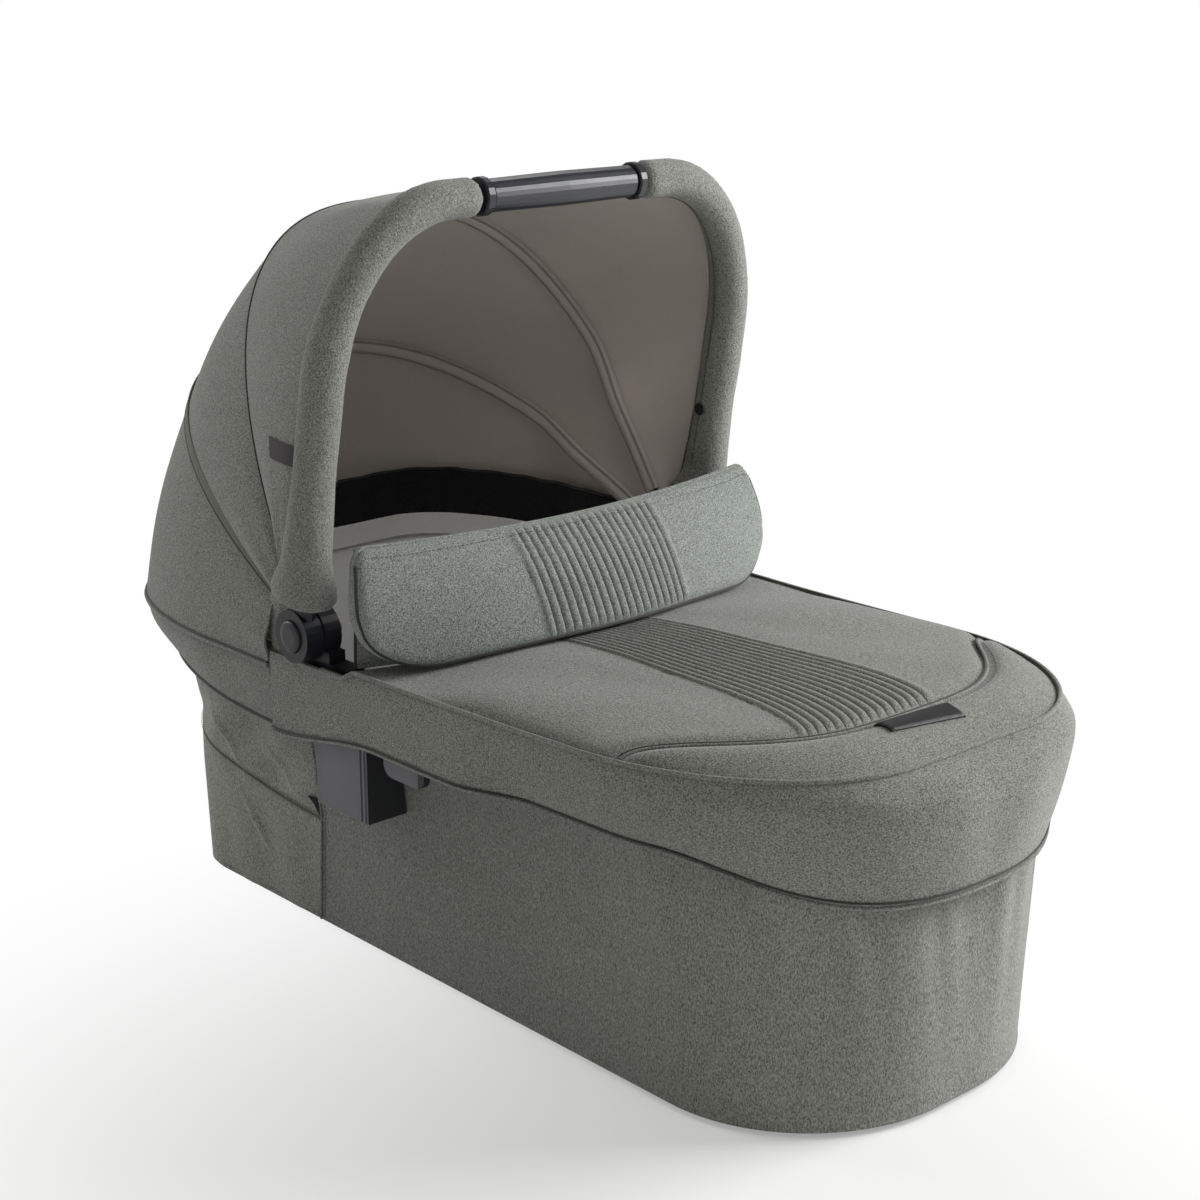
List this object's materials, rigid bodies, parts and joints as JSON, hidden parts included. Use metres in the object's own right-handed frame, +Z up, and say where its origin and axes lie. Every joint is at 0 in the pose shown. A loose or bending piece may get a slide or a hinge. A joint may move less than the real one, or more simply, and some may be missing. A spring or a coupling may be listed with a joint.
{
  "type": "carrycot",
  "caption": "Fabric carrycot with a folding hood on sprung bows, a padded carrying handle over it, a zip-off quilted apron with a wind flap, and chassis adapters in its sides.",
  "frame": {"origin": "middle of the bounding box's underside, on the floor between the four feet", "axes": "+Y towards the head end, under the hood; +X across the cot; +Z up"},
  "size_m": [0.4614, 0.834, 0.6219],
  "materials": {
    "outer_fabric": "melange weave, matt",
    "flap_fabric": "melange weave, matt",
    "liner_fabric": "soft knit, matt",
    "mesh_fabric": "open mesh, matt",
    "mattress_cloth": "soft knit, matt",
    "dark_plastic": "fine grain, satin",
    "grey_plastic": "fine grain, satin",
    "tray_plastic": "moulded, matt",
    "foot_rubber": "matt",
    "tube_aluminium": "satin",
    "steel_wire": "drawn",
    "plate_metal": "satin"
  },
  "bodies": {
    "tub": {"base_tray": "tray_plastic", "foot_pad_foot_end_left": "foot_rubber", "foot_pad_foot_end_right": "foot_rubber", "foot_pad_head_end_left": "foot_rubber", "foot_pad_head_end_right": "foot_rubber", "tub_cover_front": "outer_fabric", "tub_cover_rear": "outer_fabric", "rear_band": "outer_fabric", "inner_liner": "liner_fabric", "mattress": "mattress_cloth", "vent_mesh_band": "mesh_fabric", "rim_tube_front": "tube_aluminium", "rim_tube_rear": "tube_aluminium", "brace_foot_end": "steel_wire", "brace_head_end": "steel_wire", "pivot_pin_left": "steel_wire", "pivot_pin_right": "steel_wire", "hinge_housing_left": "dark_plastic", "hinge_housing_right": "dark_plastic", "adapter_housing_left": "grey_plastic", "adapter_housing_right": "grey_plastic", "lever_spring_left": "steel_wire", "lever_spring_right": "steel_wire"},
    "rear_bow": {"hood_bow_rear": "dark_plastic", "hood_panel_rear": "outer_fabric"},
    "front_bow": {"hood_bow_front": "dark_plastic", "hood_panel_middle": "outer_fabric"},
    "handle": {"handle_tube": "tube_aluminium", "handle_sleeve_left": "outer_fabric", "handle_sleeve_right": "outer_fabric", "grip": "dark_plastic", "grip_collar_left": "dark_plastic", "grip_collar_right": "dark_plastic", "handle_leg_left": "dark_plastic", "handle_leg_right": "dark_plastic", "snap_left": "dark_plastic", "snap_right": "dark_plastic", "hinge_spring_left": "steel_wire", "hinge_spring_right": "steel_wire", "hood_panel_front": "outer_fabric"},
    "hinge_button_left": {"hinge_button_left": "dark_plastic"},
    "hinge_button_right": {"hinge_button_right": "dark_plastic"},
    "adapter_lever_left": {"adapter_lever_left": "grey_plastic"},
    "adapter_lever_right": {"adapter_lever_right": "grey_plastic"},
    "apron": {"apron_skirt": "outer_fabric", "apron_top": "outer_fabric", "apron_cap": "outer_fabric", "apron_riser": "flap_fabric", "label_plate": "plate_metal"},
    "wind_flap": {"wind_flap": "flap_fabric"}
  },
  "joints": [
    {"name": "rear_bow_fold", "type": "hinge", "parent": "tub", "child": "rear_bow", "pos_m": [0, 0.092, 0.28], "axis": [-1, 0, 0], "range_deg": [0, 24], "deforming": ["hood_panel_rear"]},
    {"name": "front_bow_fold", "type": "hinge", "parent": "rear_bow", "child": "front_bow", "pos_m": [0, 0.092, 0.28], "axis": [-1, 0, 0], "range_deg": [0, 27], "deforming": ["hood_panel_middle"]},
    {"name": "handle_fold", "type": "hinge", "parent": "front_bow", "child": "handle", "pos_m": [0, 0.092, 0.28], "axis": [-1, 0, 0], "range_deg": [0, 29.6], "deforming": ["hood_panel_front"]},
    {"name": "hinge_button_press_left", "type": "slide", "parent": "handle", "child": "hinge_button_left", "axis": [1, 0, 0], "range_m": [0, 0.003], "stiffness_N_per_m": 400, "deforming": ["hinge_spring_left"]},
    {"name": "hinge_button_press_right", "type": "slide", "parent": "handle", "child": "hinge_button_right", "axis": [-1, 0, 0], "range_m": [0, 0.003], "stiffness_N_per_m": 400, "deforming": ["hinge_spring_right"]},
    {"name": "adapter_lever_pull_left", "type": "slide", "parent": "tub", "child": "adapter_lever_left", "axis": [0, 0, 1], "range_m": [0, 0.006], "stiffness_N_per_m": 400, "springref_m": -0.002, "deforming": ["lever_spring_left"]},
    {"name": "adapter_lever_pull_right", "type": "slide", "parent": "tub", "child": "adapter_lever_right", "axis": [0, 0, 1], "range_m": [0, 0.006], "stiffness_N_per_m": 400, "springref_m": -0.002, "deforming": ["lever_spring_right"]},
    {"name": "apron_lift_off", "type": "slide", "parent": "tub", "child": "apron", "axis": [0, -1, 0], "range_m": [0, 0.6]},
    {"name": "wind_flap_fold", "type": "hinge", "parent": "apron", "child": "wind_flap", "pos_m": [0, 0.0335, 0.357], "axis": [-1, 0, 0], "range_deg": [0, 140]}
  ],
  "couplings": [
    {"joint": "rear_bow_fold", "follows": "handle_fold", "ratio": 0.8103},
    {"joint": "front_bow_fold", "follows": "handle_fold", "ratio": 0.9117}
  ]
}
